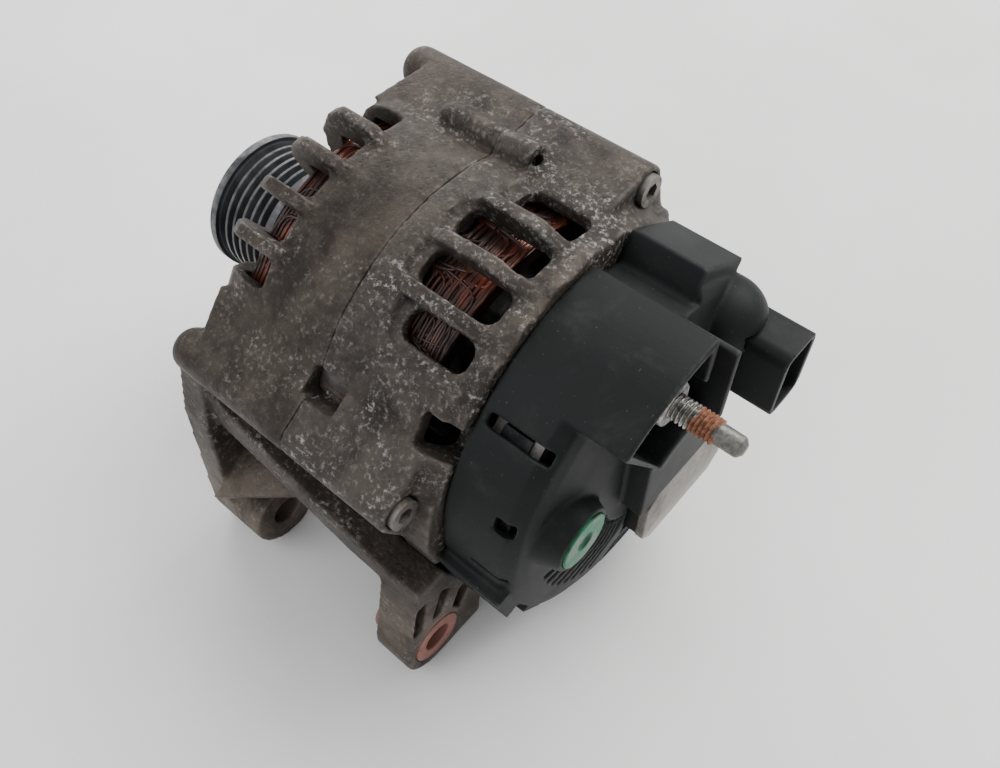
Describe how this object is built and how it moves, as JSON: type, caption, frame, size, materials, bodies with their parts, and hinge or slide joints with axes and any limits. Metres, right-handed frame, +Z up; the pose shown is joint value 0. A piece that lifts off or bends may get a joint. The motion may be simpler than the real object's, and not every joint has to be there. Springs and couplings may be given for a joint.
{
  "type": "car alternator",
  "caption": "Compact belt-driven car alternator with vented end brackets, two mounting ears, ribbed pulley, plastic rear cover, output stud and connector socket.",
  "frame": {"origin": "on the shaft axis, in the middle of the pulley's belt track", "axes": "+X along the shaft from the pulley to the output stud, +Y across, +Z up"},
  "size_m": [0.194, 0.1549, 0.1362],
  "materials": {
    "aged_aluminium": "rough cast, aged",
    "steel": "machined",
    "dark_steel": "dark, satin",
    "laminated_steel": "laminated, matte",
    "copper": "enamelled wire",
    "black_plastic": "glass filled, satin",
    "natural_plastic": "matte",
    "green_plastic": "gloss",
    "carbon": "carbon, matte",
    "brass": "stamped",
    "rubber": "matte",
    "rusty_steel": "rusty",
    "plated_steel": "zinc plated, corroded",
    "plate_aluminium": "rolled, dull"
  },
  "bodies": {
    "housing": {"bearing_retainer": "steel", "brush_spring_a": "steel", "brush_spring_b": "steel", "connector_pins": "brass", "cover_plug": "green_plastic", "diodes_negative": "steel", "diodes_positive": "steel", "drive_end_bracket": "aged_aluminium", "front_bearing_outer_race": "steel", "front_bearing_seals": "rubber", "output_insulator": "black_plastic", "output_nut": "plated_steel", "output_stud": "plated_steel", "output_washer": "plated_steel", "rear_bearing_outer_race": "steel", "rear_bearing_seals": "rubber", "rear_bracket": "aged_aluminium", "rear_cover": "black_plastic", "rectifier_carrier": "black_plastic", "rectifier_heatsink_negative": "plate_aluminium", "rectifier_heatsink_positive": "plate_aluminium", "rectifier_screws": "plated_steel", "regulator_housing": "black_plastic", "regulator_plate": "plate_aluminium", "retainer_screws": "plated_steel", "stator_core": "laminated_steel", "stator_windings": "copper", "through_bolts": "plated_steel"},
    "rotor": {"rotor_shaft": "steel", "claw_pole_front": "laminated_steel", "claw_pole_rear": "laminated_steel", "coil_bobbin": "natural_plastic", "field_coil": "copper", "front_fan": "dark_steel", "rear_fan": "dark_steel", "slip_rings": "copper", "slip_ring_sleeve": "black_plastic", "shaft_spacer": "steel", "pulley": "dark_steel", "pulley_nut": "plated_steel", "front_bearing_inner_race": "steel", "rear_bearing_inner_race": "steel"},
    "front_ball_set": {"front_bearing_balls": "steel", "front_bearing_cage": "natural_plastic"},
    "rear_ball_set": {"rear_bearing_balls": "steel", "rear_bearing_cage": "natural_plastic"},
    "brush_a": {"brush_a": "carbon"},
    "brush_b": {"brush_b": "carbon"},
    "mount_bushing": {"mount_bushing": "rusty_steel"}
  },
  "joints": [
    {"name": "rotor_spin", "type": "hinge", "parent": "housing", "child": "rotor", "pos_m": [0.038, 0, 0], "axis": [1, 0, 0], "continuous": true},
    {"name": "front_cage_spin", "type": "hinge", "parent": "housing", "child": "front_ball_set", "pos_m": [0.038, 0, 0], "axis": [1, 0, 0], "continuous": true},
    {"name": "rear_cage_spin", "type": "hinge", "parent": "housing", "child": "rear_ball_set", "pos_m": [0.113, 0, 0], "axis": [1, 0, 0], "continuous": true},
    {"name": "brush_a_slide", "type": "slide", "parent": "housing", "child": "brush_a", "axis": [0, 1, 0], "range_m": [0, 0.004], "stiffness_N_per_m": 150, "springref_m": -0.004, "deforming": ["brush_spring_a"]},
    {"name": "brush_b_slide", "type": "slide", "parent": "housing", "child": "brush_b", "axis": [0, 1, 0], "range_m": [0, 0.004], "stiffness_N_per_m": 150, "springref_m": -0.004, "deforming": ["brush_spring_b"]},
    {"name": "bushing_slide", "type": "slide", "parent": "housing", "child": "mount_bushing", "axis": [-1, 0, 0], "range_m": [0, 0.004]}
  ],
  "couplings": [
    {"joint": "front_cage_spin", "follows": "rotor_spin", "ratio": 0.3913},
    {"joint": "rear_cage_spin", "follows": "rotor_spin", "ratio": 0.4264}
  ]
}
